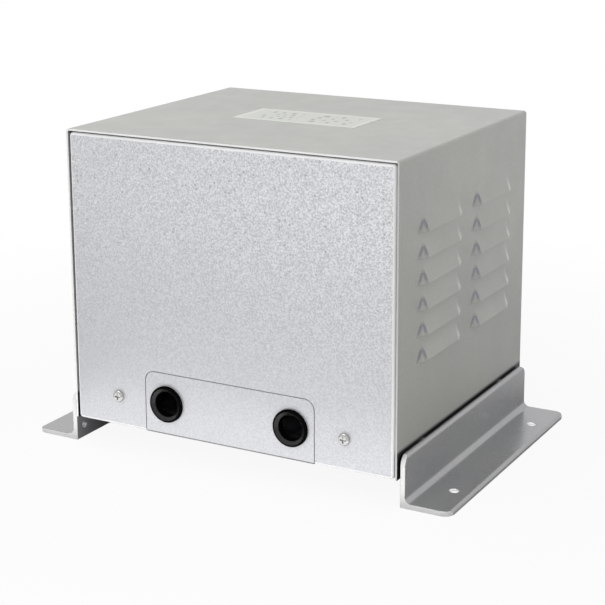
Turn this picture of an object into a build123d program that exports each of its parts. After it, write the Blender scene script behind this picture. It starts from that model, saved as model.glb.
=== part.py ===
from build123d import *
import os

# Case-type autotransformer. A wound EI core stands on a folded base tray and is closed in by a louvred
# wrapper and two covers. Two rolled steel angles carry the case and bolt to the floor.
# Millimetres. X runs across the front, Y from front to back, Z up. The origin is on the floor, in the
# middle of the four floor-bolt holes.

os.makedirs("parts", exist_ok=True)

# Sheet-metal case
case_width = 285.0
case_depth = 240.0
case_height = 235.0
ground_clearance = 21.0
sheet = 1.6
bend_inside = 0.8
seat_gap = 0.2

# Louvres pressed out of the side walls
louvre_rows = 6
louvre_columns = 2
louvre_length = 76.0
louvre_height = 11.0
louvre_bulge = 4.0
louvre_end = 8.0
louvre_row_pitch = 19.4
louvre_column_pitch = 98.0
louvre_top_margin = 47.5

# Covers
cover_gap = 1.0
cover_flange = 12.0
cover_corner = 3.0
cover_screw_spacing = 200.0
cover_screw_rise = 24.5

# Cable entry in the front cover's lower edge
plate_width = 149.0
plate_height = 49.5
plate_corner = 8.0
plate_gap = 0.6
grommet_spacing = 110.0
grommet_rise = 25.3
grommet_outer = 29.0
grommet_bore = 20.0
grommet_panel_hole = 24.0
grommet_lip = 3.0
grommet_rim_round = 1.3
grommet_funnel_width = 2.8
grommet_funnel_depth = 2.2
grommet_rear_bevel = 1.0

# Cover screws and the clinch nuts that take them
screw_diameter = 4.0
screw_head = 9.5
screw_head_height = 2.8
screw_head_round = 1.8
screw_recess_span = 5.0
screw_recess_width = 1.2
screw_recess_depth = 1.4
clinch_outer = 8.0
clinch_height = 3.5

# Rails under the roof that hold the covers' upper rims
rail_length = 160.0
rail_lip = 7.0
rail_weld_flange = 14.0
rail_clearance = 1.5

# Base tray
tray_upstand = 60.0
tray_side_height = 24.0
tray_end_clearance = 1.5
tray_side_setback = 2.0

# Foot angles
foot_leg = 40.0
foot_thickness = 4.0
foot_root_radius = 5.0
foot_toe_radius = 3.0
foot_corner = 8.0
foot_length = 236.0
foot_gap = 1.5
foot_hole = 7.0
foot_hole_gauge = 26.0
foot_hole_spacing = 158.0
earth_hole = 6.0
earth_hole_rise = 10.0
earth_hole_from_end = 10.0

# Foot studs, spacers and nuts
stud_diameter = 6.0
stud_spacing = 150.0
stud_rise = 11.0
stud_end = 3.0
spacer_outer = 14.0
nut_across = 10.0
nut_height = 5.0
thread_clearance = 0.1
hole_clearance = 0.6

# Rating label
label_width = 110.0
label_depth = 50.0
label_thickness = 0.2
label_corner = 1.5
label_setback = 7.0

# Laminated core, in the usual scrap-free EI proportions
core_tongue = 64.0
core_stack = 90.0
core_lift = 4.0
core_rear_space = 10.0

# Coil
bobbin_wall = 2.0
bobbin_flange = 2.0
bobbin_window_gap = 0.5
bobbin_core_gap = 0.3
bobbin_corner = 2.0
winding_build = 12.0
insulation_build = 1.0
layer_gap = 0.1

# Core clamps and bolts
clamp_thickness = 3.0
clamp_inside_radius = 3.0
clamp_window_margin = 3.0
clamp_overhang = 8.0
bolt_diameter = 6.0
bolt_head_height = 4.0
bolt_end = 3.0
washer_outer = 12.0
washer_thickness = 1.6
mount_bolt_spacing = 140.0
mount_bolt_gauge = 18.0

# Terminal block and its bracket
bracket_width = 124.0
bracket_foot = 18.0
bracket_foot_gauge = 10.0
bracket_bolt_spacing = 90.0
bracket_clearance = 3.0
terminal_poles = 4
terminal_pitch = 22.0
terminal_row_spacing = 24.0
block_base = 12.0
block_ear = 12.0
block_edge = 11.0
barrier_thickness = 3.0
barrier_depth = 22.0
terminal_plate_width = 15.0
terminal_plate_edge = 7.0
terminal_plate_thickness = 1.2
terminal_screw_diameter = 5.0
terminal_screw_head = 9.0
terminal_screw_head_height = 3.2
terminal_screw_depth = 8.0
small_nut_across = 8.0
small_nut_height = 4.0

# Leads from the coil to the terminals
lead_diameter = 5.0
lead_bend = 14.0
lead_exit_drop = 10.0
lead_fall = 34.0
lug_thickness = 1.2
lug_ring = 5.5
lug_barrel_diameter = 6.4
lug_barrel_length = 10.0
lug_barrel_gap = 0.3

# Earth screw on the tray floor
earth_screw_from_wall = 26.0
earth_screw_from_front = 30.0

# Levels and faces that the pieces share
case_bottom = ground_clearance
case_top = case_bottom + case_height
roof_under = case_top - sheet
wall_outer = case_width / 2
wall_inner = wall_outer - sheet
face_outer = case_depth / 2
bend_outside = bend_inside + sheet
cover_half_width = wall_inner - cover_gap
cover_top = roof_under - cover_gap
tray_under = case_bottom + sheet + seat_gap
tray_floor = tray_under + sheet
upstand_outer = face_outer - sheet
upstand_inner = upstand_outer - sheet
foot_face = wall_outer + foot_gap
stud_level = case_bottom + stud_rise
cover_screw_level = case_bottom + cover_screw_rise
grommet_level = case_bottom + grommet_rise
front_plane = Plane.XZ.offset(face_outer)

core_yoke = core_tongue / 2
window_width = core_tongue / 2
window_height = 1.5 * core_tongue
core_width = 2 * core_tongue + 2 * window_width
core_height = window_height + 2 * core_yoke
core_bottom = tray_floor + core_lift
core_top = core_bottom + core_height
core_middle = core_bottom + core_height / 2
coil_reach = window_width - bobbin_window_gap
core_rear = upstand_inner - core_rear_space - coil_reach
core_front = core_rear - core_stack
core_centre = (core_front + core_rear) / 2
clamp_leg = core_lift + core_yoke - clamp_window_margin

cover_screw_points = [
    (-cover_screw_spacing / 2, cover_screw_level),
    (cover_screw_spacing / 2, cover_screw_level),
]
stud_points = [(-stud_spacing / 2, stud_level), (stud_spacing / 2, stud_level)]


def save(piece, name):
    """Label a finished piece and write its STEP file."""
    piece.part.label = name
    export_step(piece.part, f"parts/{name}.step")


def folded_section(plane, corners, radii, thickness):
    """Section of a bent sheet: its face follows the corners and the metal lies to the left of them."""
    with BuildSketch(plane) as section:
        with BuildLine():
            FilletPolyline(*corners, radius=radii)
            offset(amount=thickness, side=Side.LEFT)
        make_face()
    return section.sketch


# Wrapper cover with its louvres


def louvre_form():
    """Hipped form of one louvre: X out of the wall, Y along the louvre, Z up from its open lip."""
    with BuildPart() as form:
        with BuildSketch(Plane.XZ):
            with BuildLine():
                Polyline((0, 0), (louvre_bulge, 0), (0, louvre_height), close=True)
            make_face()
        extrude(amount=louvre_length / 2, both=True)
        for end in (-1, 1):
            foot = Vector(0, end * louvre_length / 2, 0)
            lip = Vector(louvre_bulge, end * (louvre_length / 2 - louvre_end), 0)
            ridge = Vector(0, end * (louvre_length / 2 - louvre_end), louvre_height)
            outward = (lip - foot).cross(ridge - foot) * -end
            split(bisect_by=Plane(origin=foot, z_dir=outward), keep=Keep.BOTTOM)
    return form.part


louvre_first_lip = case_top - louvre_top_margin - louvre_height
louvre_lips = [louvre_first_lip - row * louvre_row_pitch for row in range(louvre_rows)]
louvre_centres = [
    (column - (louvre_columns - 1) / 2) * louvre_column_pitch for column in range(louvre_columns)
]
louvre_places = [(y, z) for y in louvre_centres for z in louvre_lips]

with BuildPart() as wrapper_cover:
    wall_corners = [
        (wall_outer, case_bottom),
        (wall_outer, case_top),
        (-wall_outer, case_top),
        (-wall_outer, case_bottom),
    ]
    extrude(folded_section(Plane.XZ, wall_corners, bend_outside, sheet), amount=face_outer, both=True)
    for turn, side in ((0, 1), (180, -1)):
        hoods = [Location((side * wall_outer, y, z), (0, 0, turn)) for y, z in louvre_places]
        hollows = [Location((side * wall_inner, y, z), (0, 0, turn)) for y, z in louvre_places]
        with Locations(*hoods):
            add(louvre_form())
        with Locations(*hollows):
            add(louvre_form(), mode=Mode.SUBTRACT)
    with BuildSketch(Plane.YZ):
        with Locations(*stud_points):
            Circle((stud_diameter + hole_clearance) / 2)
    extrude(amount=case_width, both=True, mode=Mode.SUBTRACT)
save(wrapper_cover, "wrapper_cover")

# Front and rear covers


def cover_pan():
    """Flush pan for one end of the case, made for the front: a face with a folded rim on four sides."""
    with BuildPart() as pan:
        with BuildSketch(front_plane):
            with Locations((0, case_bottom)):
                RectangleRounded(
                    2 * cover_half_width,
                    cover_top - case_bottom,
                    cover_corner,
                    align=(Align.CENTER, Align.MIN),
                )
        extrude(amount=-cover_flange)
        fillet(pan.faces().sort_by(Axis.Y)[0].edges(), bend_outside)
        offset(amount=-sheet, openings=pan.faces().sort_by(Axis.Y)[-1])
        with BuildSketch(front_plane):
            with Locations(*cover_screw_points):
                Circle((screw_diameter + hole_clearance) / 2)
        extrude(amount=-cover_flange, mode=Mode.SUBTRACT)
    return pan.part


def entry_outline(width, height, corner):
    """Outline of the cable entry on the front face, with rounded upper corners."""
    with BuildSketch(front_plane) as outline:
        with Locations((0, case_bottom)):
            Rectangle(width, height, align=(Align.CENTER, Align.MIN))
        fillet(outline.vertices().group_by(Axis.Y)[-1], corner)
    return outline.sketch


with BuildPart() as front_cover:
    add(cover_pan())
    notch = entry_outline(plate_width + 2 * plate_gap, plate_height + plate_gap, plate_corner + plate_gap)
    extrude(notch, amount=-cover_flange, mode=Mode.SUBTRACT)
save(front_cover, "front_cover")

with BuildPart() as rear_cover:
    mirror(cover_pan(), about=Plane.XZ)
save(rear_cover, "rear_cover")

# Cable entry plate and its two rubber grommets

grommet_points = [(-grommet_spacing / 2, grommet_level), (grommet_spacing / 2, grommet_level)]

with BuildPart() as cable_entry_plate:
    extrude(entry_outline(plate_width, plate_height, plate_corner), amount=-sheet)
    with BuildSketch(front_plane):
        with Locations(*grommet_points):
            Circle(grommet_panel_hole / 2)
    extrude(amount=-sheet, mode=Mode.SUBTRACT)
save(cable_entry_plate, "cable_entry_plate")


def cable_grommet(x):
    """Rubber ring held in the plate and the tray's upstand by its groove, with a funnel in front."""
    groove = 2 * sheet
    bore = grommet_bore / 2
    rim = grommet_outer / 2
    neck = (grommet_panel_hole - seat_gap) / 2
    section_plane = Plane(origin=(x, -face_outer, grommet_level), x_dir=(0, -1, 0), z_dir=(-1, 0, 0))
    with BuildPart() as ring:
        with BuildSketch(section_plane) as section:
            with BuildLine():
                Polyline(
                    (grommet_lip - grommet_funnel_depth, bore),
                    (grommet_lip, bore + grommet_funnel_width),
                    (grommet_lip, rim),
                    (0, rim),
                    (0, neck),
                    (-groove, neck),
                    (-groove, rim),
                    (-groove - grommet_lip, rim),
                    (-groove - grommet_lip, bore),
                    close=True,
                )
            make_face()
            fillet(section.vertices().group_by(Axis.X)[-1].sort_by(Axis.Y)[-1], grommet_rim_round)
            chamfer(section.vertices().group_by(Axis.X)[0], grommet_rear_bevel)
        revolve(axis=Axis((x, -face_outer, grommet_level), (0, -1, 0)))
    return ring


save(cable_grommet(-grommet_spacing / 2), "left_cable_grommet")
save(cable_grommet(grommet_spacing / 2), "right_cable_grommet")

# Cover screws and clinch nuts


def cover_screws():
    """Two truss-head screws with cross recesses, through the front cover into the tray's upstand."""
    with BuildPart() as screws:
        with BuildSketch(front_plane):
            with Locations(*cover_screw_points):
                Circle(screw_head / 2)
        extrude(amount=screw_head_height)
        fillet(screws.faces().group_by(Axis.Y)[0].edges(), screw_head_round)
        with BuildSketch(front_plane):
            with Locations(*cover_screw_points):
                Circle(screw_diameter / 2)
        extrude(amount=-(2 * sheet + clinch_height))
        with BuildSketch(front_plane.offset(screw_head_height)):
            with Locations(*cover_screw_points):
                Rectangle(screw_recess_span, screw_recess_width)
                Rectangle(screw_recess_width, screw_recess_span)
        extrude(amount=-screw_recess_depth, mode=Mode.SUBTRACT)
    return screws


save(cover_screws(), "front_cover_screws")

with BuildPart() as rear_cover_screws:
    mirror(cover_screws().part, about=Plane.XZ)
save(rear_cover_screws, "rear_cover_screws")

with BuildPart() as cover_clinch_nuts:
    with BuildSketch(Plane.XZ.offset(upstand_inner)):
        with Locations(*cover_screw_points):
            Circle(clinch_outer / 2)
            Circle((screw_diameter + thread_clearance) / 2, mode=Mode.SUBTRACT)
    extrude(amount=-clinch_height)
    mirror(about=Plane.XZ)
save(cover_clinch_nuts, "cover_clinch_nuts")

# Rails that hold the upper rims of the covers

rail_web_back = -face_outer + cover_flange + rail_clearance + sheet
rail_lip_under = cover_top - sheet - seat_gap - sheet


def hook_rail():
    """Front rail: a lip under the cover's rim, a web behind it and a flange welded to the roof."""
    corners = [
        (rail_web_back - sheet - rail_lip, rail_lip_under),
        (rail_web_back, rail_lip_under),
        (rail_web_back, roof_under - sheet),
        (rail_web_back + rail_weld_flange, roof_under - sheet),
    ]
    with BuildPart() as rail:
        section = folded_section(Plane.YZ, corners, [bend_outside, bend_inside], sheet)
        extrude(section, amount=rail_length / 2, both=True)
    return rail


save(hook_rail(), "front_hook_rail")

with BuildPart() as rear_hook_rail:
    mirror(hook_rail().part, about=Plane.XZ)
save(rear_hook_rail, "rear_hook_rail")

# Base tray

mount_bolt_points = [
    (x, y)
    for x in (-mount_bolt_spacing / 2, mount_bolt_spacing / 2)
    for y in (core_front - mount_bolt_gauge, core_rear + mount_bolt_gauge)
]
bracket_face = core_front - clamp_leg - bracket_clearance - sheet
bracket_bolt_points = [
    (x, bracket_face - bracket_foot_gauge) for x in (-bracket_bolt_spacing / 2, bracket_bolt_spacing / 2)
]
earth_screw_point = (-wall_inner + earth_screw_from_wall, -upstand_inner + earth_screw_from_front)
tray_half_width = cover_half_width - sheet - tray_end_clearance
tray_side_half = face_outer - cover_flange - tray_side_setback

with BuildPart() as base_tray:
    end_corners = [
        (-upstand_outer, tray_under + tray_upstand),
        (-upstand_outer, tray_under),
        (upstand_outer, tray_under),
        (upstand_outer, tray_under + tray_upstand),
    ]
    extrude(folded_section(Plane.YZ, end_corners, bend_outside, sheet), amount=tray_half_width, both=True)
    side_corners = [
        (-wall_inner, tray_under + tray_side_height),
        (-wall_inner, tray_under),
        (wall_inner, tray_under),
        (wall_inner, tray_under + tray_side_height),
    ]
    extrude(folded_section(Plane.XZ, side_corners, bend_outside, sheet), amount=tray_side_half, both=True)
    with BuildSketch(Plane.YZ):
        with Locations(*stud_points):
            Circle((stud_diameter + hole_clearance) / 2)
    extrude(amount=case_width, both=True, mode=Mode.SUBTRACT)
    with BuildSketch(Plane.XZ):
        with Locations(*cover_screw_points):
            Circle((screw_diameter + hole_clearance) / 2)
    extrude(amount=case_depth, both=True, mode=Mode.SUBTRACT)
    with BuildSketch(front_plane):
        with Locations(*grommet_points):
            Circle(grommet_panel_hole / 2)
    extrude(amount=-sheet - cover_flange, mode=Mode.SUBTRACT)
    with BuildSketch(Plane.XY.offset(tray_under)):
        with Locations(*mount_bolt_points):
            Circle((bolt_diameter + hole_clearance) / 2)
        with Locations(*bracket_bolt_points, earth_screw_point):
            Circle((terminal_screw_diameter + hole_clearance) / 2)
    extrude(amount=sheet, mode=Mode.SUBTRACT)
save(base_tray, "base_tray")

# Foot angles


def corner_waste(plane, corner, inward):
    """Metal outside the rounding of an angle leg's end corner."""
    centre = (corner[0] + inward[0] * foot_corner, corner[1] + inward[1] * foot_corner)
    with BuildSketch(plane) as waste:
        with Locations(corner):
            Rectangle(2 * foot_corner, 2 * foot_corner)
        with Locations(centre):
            Circle(foot_corner, mode=Mode.SUBTRACT)
    return waste.sketch


def foot_angle():
    """Right-hand rolled angle: one leg beside the wall, the other flat on the floor."""
    with BuildPart() as angle:
        with BuildSketch(Plane.XZ) as section:
            with BuildLine():
                Polyline(
                    (foot_face, 0),
                    (foot_face + foot_leg, 0),
                    (foot_face + foot_leg, foot_thickness),
                    (foot_face + foot_thickness, foot_thickness),
                    (foot_face + foot_thickness, foot_leg),
                    (foot_face, foot_leg),
                    close=True,
                )
            make_face()
            toes = section.vertices()
            flat_toe = toes.group_by(Axis.X)[-1].sort_by(Axis.Y)[-1]
            upper_toe = toes.group_by(Axis.Y)[-1].sort_by(Axis.X)[-1]
            root = toes.sort_by_distance((foot_face + foot_thickness, foot_thickness))[0]
            fillet([flat_toe, upper_toe], foot_toe_radius)
            fillet(section.vertices().sort_by_distance(root)[0], foot_root_radius)
        extrude(amount=foot_length / 2, both=True)
        for end in (-1, 1):
            end_face = end * foot_length / 2
            flat_corner = corner_waste(Plane.XY, (foot_face + foot_leg, end_face), (-1, -end))
            extrude(flat_corner, amount=foot_thickness, mode=Mode.SUBTRACT)
            upper_corner = corner_waste(Plane.YZ.offset(foot_face), (end_face, foot_leg), (-end, -1))
            extrude(upper_corner, amount=foot_thickness, mode=Mode.SUBTRACT)
        with BuildSketch(Plane.XY):
            with Locations((foot_face + foot_hole_gauge, 0)):
                with GridLocations(0, foot_hole_spacing, 1, 2):
                    Circle(foot_hole / 2)
        extrude(amount=foot_thickness, mode=Mode.SUBTRACT)
    return angle


save(foot_angle(), "right_foot_angle")

with BuildPart() as left_foot_angle:
    mirror(foot_angle().part, about=Plane.YZ)
    with BuildSketch(Plane.YZ.offset(-foot_face)):
        with Locations((-foot_length / 2 + earth_hole_from_end, earth_hole_rise)):
            Circle(earth_hole / 2)
    extrude(amount=-(foot_thickness + foot_root_radius), mode=Mode.SUBTRACT)
save(left_foot_angle, "left_foot_angle")

# Studs on the angles, spacers in the gap and nuts inside the tray

stud_length = foot_gap + 2 * sheet + nut_height + stud_end

with BuildPart() as foot_studs:
    with BuildSketch(Plane.YZ.offset(foot_face)):
        with Locations(*stud_points):
            Circle(stud_diameter / 2)
    extrude(amount=-stud_length)
    mirror(about=Plane.YZ)
save(foot_studs, "foot_studs")

with BuildPart() as foot_spacers:
    with BuildSketch(Plane.YZ.offset(wall_outer)):
        with Locations(*stud_points):
            Circle(spacer_outer / 2)
            Circle((stud_diameter + thread_clearance) / 2, mode=Mode.SUBTRACT)
    extrude(amount=foot_gap)
    mirror(about=Plane.YZ)
save(foot_spacers, "foot_spacers")

with BuildPart() as foot_nuts:
    with BuildSketch(Plane.YZ.offset(wall_inner - sheet)):
        with Locations(*stud_points):
            RegularPolygon(nut_across / 2, 6, major_radius=False, rotation=30)
            Circle((stud_diameter + thread_clearance) / 2, mode=Mode.SUBTRACT)
    extrude(amount=-nut_height)
    mirror(about=Plane.YZ)
save(foot_nuts, "foot_nuts")

# Rating label on the roof

with BuildPart() as rating_label:
    with BuildSketch(Plane.XY.offset(case_top)):
        with Locations((0, label_setback)):
            RectangleRounded(label_width, label_depth, label_corner)
    extrude(amount=label_thickness)
save(rating_label, "rating_label")

# Laminated core

core_bolt_points = [
    (x, z)
    for x in (-(core_width - core_yoke) / 2, (core_width - core_yoke) / 2)
    for z in (core_bottom + core_yoke / 2, core_top - core_yoke / 2)
]

with BuildPart() as laminated_core:
    with BuildSketch(Plane.XZ.offset(-core_rear)):
        with Locations((0, core_middle)):
            Rectangle(core_width, core_height)
            with GridLocations(core_tongue + window_width, 0, 2, 1):
                Rectangle(window_width, window_height, mode=Mode.SUBTRACT)
        with Locations(*core_bolt_points):
            Circle((bolt_diameter + hole_clearance) / 2, mode=Mode.SUBTRACT)
    extrude(amount=core_stack)
save(laminated_core, "laminated_core")

# Bobbin, windings and insulation, as rectangular rings round the core's tongue

tube_half_x = core_tongue / 2 + bobbin_core_gap + bobbin_wall
tube_half_y = core_stack / 2 + bobbin_core_gap + bobbin_wall
bobbin_height = window_height - 2 * bobbin_core_gap
bobbin_bottom = core_middle - bobbin_height / 2
winding_bottom = bobbin_bottom + bobbin_flange + layer_gap
winding_height = bobbin_height - 2 * (bobbin_flange + layer_gap)


def tongue_ring(level, inner_build, outer_build):
    """Sketch of a ring round the tongue between two builds, both counted outward from the bobbin's tube."""
    with BuildSketch(Plane.XY.offset(level)) as ring:
        with Locations((0, core_centre)):
            RectangleRounded(
                2 * (tube_half_x + outer_build), 2 * (tube_half_y + outer_build), bobbin_corner + outer_build
            )
            if inner_build < 0:
                Rectangle(
                    2 * (tube_half_x + inner_build),
                    2 * (tube_half_y + inner_build),
                    mode=Mode.SUBTRACT,
                )
            else:
                RectangleRounded(
                    2 * (tube_half_x + inner_build),
                    2 * (tube_half_y + inner_build),
                    bobbin_corner + inner_build,
                    mode=Mode.SUBTRACT,
                )
    return ring.sketch


flange_build = core_tongue / 2 + coil_reach - tube_half_x

with BuildPart() as coil_bobbin:
    extrude(tongue_ring(bobbin_bottom, -bobbin_wall, 0), amount=bobbin_height)
    for level in (bobbin_bottom, bobbin_bottom + bobbin_height - bobbin_flange):
        extrude(tongue_ring(level, -bobbin_wall, flange_build), amount=bobbin_flange)
save(coil_bobbin, "coil_bobbin")

coil_layers = {
    "common_winding": winding_build,
    "interlayer_insulation": insulation_build,
    "series_winding": winding_build,
    "coil_wrap": insulation_build,
}
coil_build = 0.0
for layer, build in coil_layers.items():
    with BuildPart() as coil_layer:
        ring_sketch = tongue_ring(winding_bottom, coil_build + layer_gap, coil_build + layer_gap + build)
        extrude(ring_sketch, amount=winding_height)
    save(coil_layer, layer)
    coil_build += layer_gap + build
coil_front = core_centre - tube_half_y - coil_build

# Core clamps: four folded angles along the yokes

clamp_length = core_width + 2 * clamp_overhang
clamp_bend = clamp_thickness + clamp_inside_radius


def lower_front_clamp():
    """Angle on the front of the lower yoke: upright leg on the core, flat leg on the tray floor."""
    corners = [
        (core_front, tray_floor + clamp_leg),
        (core_front, tray_floor),
        (core_front - clamp_leg, tray_floor),
    ]
    with BuildPart() as clamp:
        section = folded_section(Plane.YZ, corners[::-1], clamp_bend, clamp_thickness)
        extrude(section, amount=clamp_length / 2, both=True)
        with BuildSketch(Plane.XZ):
            with Locations(*core_bolt_points):
                Circle((bolt_diameter + hole_clearance) / 2)
        extrude(amount=case_depth, both=True, mode=Mode.SUBTRACT)
        with BuildSketch(Plane.XY.offset(tray_floor)):
            with Locations(*mount_bolt_points):
                Circle((bolt_diameter + hole_clearance) / 2)
        extrude(amount=clamp_thickness, mode=Mode.SUBTRACT)
    return clamp.part


def core_clamp(upper, rear):
    """One of the four clamps, turned over about the middle planes of the core."""
    with BuildPart() as clamp:
        add(lower_front_clamp())
        if upper:
            mirror(about=Plane.XY.offset(core_middle), mode=Mode.REPLACE)
        if rear:
            mirror(about=Plane.XZ.offset(-core_centre), mode=Mode.REPLACE)
    return clamp


save(core_clamp(upper=False, rear=False), "lower_front_clamp")
save(core_clamp(upper=False, rear=True), "lower_rear_clamp")
save(core_clamp(upper=True, rear=False), "upper_front_clamp")
save(core_clamp(upper=True, rear=True), "upper_rear_clamp")

# Bolts through the clamps and the core

clamp_front = core_front - clamp_thickness
clamp_rear = core_rear + clamp_thickness
bolt_nut_seat = clamp_front - washer_thickness
bolt_head_seat = clamp_rear + washer_thickness

with BuildPart() as core_bolts:
    with BuildSketch(Plane.XZ.offset(-bolt_head_seat)):
        with Locations(*core_bolt_points):
            RegularPolygon(nut_across / 2, 6, major_radius=False)
    extrude(amount=-bolt_head_height)
    with BuildSketch(Plane.XZ.offset(-bolt_head_seat)):
        with Locations(*core_bolt_points):
            Circle(bolt_diameter / 2)
    extrude(amount=bolt_head_seat - bolt_nut_seat + nut_height + bolt_end)
save(core_bolts, "core_bolts")

with BuildPart() as core_bolt_washers:
    for seat in (clamp_front, clamp_rear + washer_thickness):
        with BuildSketch(Plane.XZ.offset(-seat)):
            with Locations(*core_bolt_points):
                Circle(washer_outer / 2)
                Circle((bolt_diameter + thread_clearance) / 2, mode=Mode.SUBTRACT)
        extrude(amount=washer_thickness)
save(core_bolt_washers, "core_bolt_washers")

with BuildPart() as core_bolt_nuts:
    with BuildSketch(Plane.XZ.offset(-bolt_nut_seat)):
        with Locations(*core_bolt_points):
            RegularPolygon(nut_across / 2, 6, major_radius=False)
            Circle((bolt_diameter + thread_clearance) / 2, mode=Mode.SUBTRACT)
    extrude(amount=nut_height)
save(core_bolt_nuts, "core_bolt_nuts")

# Bolts from the lower clamps through the tray floor

with BuildPart() as core_mount_bolts:
    with BuildSketch(Plane.XY.offset(tray_floor + clamp_thickness)):
        with Locations(*mount_bolt_points):
            RegularPolygon(nut_across / 2, 6, major_radius=False)
    extrude(amount=bolt_head_height)
    with BuildSketch(Plane.XY.offset(tray_floor + clamp_thickness)):
        with Locations(*mount_bolt_points):
            Circle(bolt_diameter / 2)
    extrude(amount=-(clamp_thickness + sheet + nut_height + bolt_end))
save(core_mount_bolts, "core_mount_bolts")

with BuildPart() as core_mount_nuts:
    with BuildSketch(Plane.XY.offset(tray_under)):
        with Locations(*mount_bolt_points):
            RegularPolygon(nut_across / 2, 6, major_radius=False)
            Circle((bolt_diameter + thread_clearance) / 2, mode=Mode.SUBTRACT)
    extrude(amount=-nut_height)
save(core_mount_nuts, "core_mount_nuts")

# Terminal bracket, its bolts and the terminal block

coil_top = winding_bottom + winding_height
lead_exit = coil_top - lead_exit_drop
upper_screw_level = lead_exit - lead_fall
lower_screw_level = upper_screw_level - terminal_row_spacing
block_level = (upper_screw_level + lower_screw_level) / 2
block_height = terminal_row_spacing + 2 * block_edge
block_length = terminal_poles * terminal_pitch + 2 * block_ear
pole_places = [(pole - (terminal_poles - 1) / 2) * terminal_pitch for pole in range(terminal_poles)]
barrier_places = [(edge - terminal_poles / 2) * terminal_pitch for edge in range(terminal_poles + 1)]
upper_screw_points = [(x, upper_screw_level) for x in pole_places]
lower_screw_points = [(x, lower_screw_level) for x in pole_places]
ear_place = terminal_poles * terminal_pitch / 2 + (block_ear + barrier_thickness / 2) / 2
ear_points = [(-ear_place, block_level), (ear_place, block_level)]
bracket_plane = Plane.XZ.offset(-bracket_face)

with BuildPart() as terminal_bracket:
    corners = [
        (bracket_face - bracket_foot, tray_floor),
        (bracket_face + sheet, tray_floor),
        (bracket_face + sheet, block_level + block_height / 2),
    ]
    extrude(folded_section(Plane.YZ, corners, bend_outside, sheet), amount=bracket_width / 2, both=True)
    with BuildSketch(Plane.XY.offset(tray_floor)):
        with Locations(*bracket_bolt_points):
            Circle((terminal_screw_diameter + hole_clearance) / 2)
    extrude(amount=sheet, mode=Mode.SUBTRACT)
    with BuildSketch(bracket_plane):
        with Locations(*ear_points):
            Circle((screw_diameter + hole_clearance) / 2)
    extrude(amount=-sheet, mode=Mode.SUBTRACT)
save(terminal_bracket, "terminal_bracket")

with BuildPart() as terminal_block:
    with BuildSketch(bracket_plane):
        with Locations((0, block_level)):
            Rectangle(block_length, block_height)
    extrude(amount=block_base)
    with BuildSketch(bracket_plane):
        with Locations(*[(x, block_level) for x in barrier_places]):
            Rectangle(barrier_thickness, block_height)
    extrude(amount=barrier_depth)
    with BuildSketch(bracket_plane):
        with Locations(*upper_screw_points, *lower_screw_points):
            Circle((terminal_screw_diameter + thread_clearance) / 2)
        with Locations(*ear_points):
            Circle((screw_diameter + hole_clearance) / 2)
    extrude(amount=block_base, mode=Mode.SUBTRACT)
save(terminal_block, "terminal_block")

terminal_seat = bracket_plane.offset(block_base)
lug_seat = terminal_seat.offset(terminal_plate_thickness)

with BuildPart() as terminal_plates:
    with BuildSketch(terminal_seat):
        with Locations(*[(x, block_level) for x in pole_places]):
            Rectangle(terminal_plate_width, terminal_row_spacing + 2 * terminal_plate_edge)
        with Locations(*upper_screw_points, *lower_screw_points):
            Circle((terminal_screw_diameter + thread_clearance) / 2, mode=Mode.SUBTRACT)
    extrude(amount=terminal_plate_thickness)
save(terminal_plates, "terminal_plates")

with BuildPart() as terminal_screws:
    screw_seats = ((lug_seat.offset(lug_thickness), upper_screw_points), (lug_seat, lower_screw_points))
    for seat, points in screw_seats:
        with BuildSketch(seat):
            with Locations(*points):
                Circle(terminal_screw_head / 2)
        extrude(amount=terminal_screw_head_height)
        with BuildSketch(seat):
            with Locations(*points):
                Circle(terminal_screw_diameter / 2)
        extrude(amount=-terminal_screw_depth)
save(terminal_screws, "terminal_screws")

with BuildPart() as block_screws:
    with BuildSketch(terminal_seat):
        with Locations(*ear_points):
            Circle(small_nut_across / 2)
    extrude(amount=screw_head_height)
    with BuildSketch(terminal_seat):
        with Locations(*ear_points):
            Circle(screw_diameter / 2)
    extrude(amount=-(block_base + sheet + small_nut_height))
save(block_screws, "block_screws")

with BuildPart() as block_nuts:
    with BuildSketch(bracket_plane.offset(-sheet)):
        with Locations(*ear_points):
            RegularPolygon(small_nut_across / 2, 6, major_radius=False)
            Circle((screw_diameter + thread_clearance) / 2, mode=Mode.SUBTRACT)
    extrude(amount=-small_nut_height)
save(block_nuts, "block_nuts")


def floor_screws(points, seat, grip):
    """Pan-head screws standing in the tray floor."""
    with BuildPart() as screws:
        with BuildSketch(Plane.XY.offset(seat)):
            with Locations(*points):
                Circle(terminal_screw_head / 2)
        extrude(amount=terminal_screw_head_height)
        with BuildSketch(Plane.XY.offset(seat)):
            with Locations(*points):
                Circle(terminal_screw_diameter / 2)
        extrude(amount=-(grip + small_nut_height))
    return screws


def floor_nuts(points):
    """Nuts under the tray floor for such screws."""
    with BuildPart() as nuts:
        with BuildSketch(Plane.XY.offset(tray_under)):
            with Locations(*points):
                RegularPolygon(small_nut_across / 2, 6, major_radius=False)
                Circle((terminal_screw_diameter + thread_clearance) / 2, mode=Mode.SUBTRACT)
        extrude(amount=-small_nut_height)
    return nuts


save(floor_screws(bracket_bolt_points, tray_floor + sheet, 2 * sheet), "bracket_bolts")
save(floor_nuts(bracket_bolt_points), "bracket_nuts")
save(floor_screws([earth_screw_point], tray_floor, sheet), "earth_screw")
save(floor_nuts([earth_screw_point]), "earth_nut")

# Leads from the coil and their crimped lugs

lead_y = bracket_face - block_base - terminal_plate_thickness - lug_barrel_gap - lug_barrel_diameter / 2
barrel_bottom = upper_screw_level + lug_ring
barrel_top = barrel_bottom + lug_barrel_length

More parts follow.
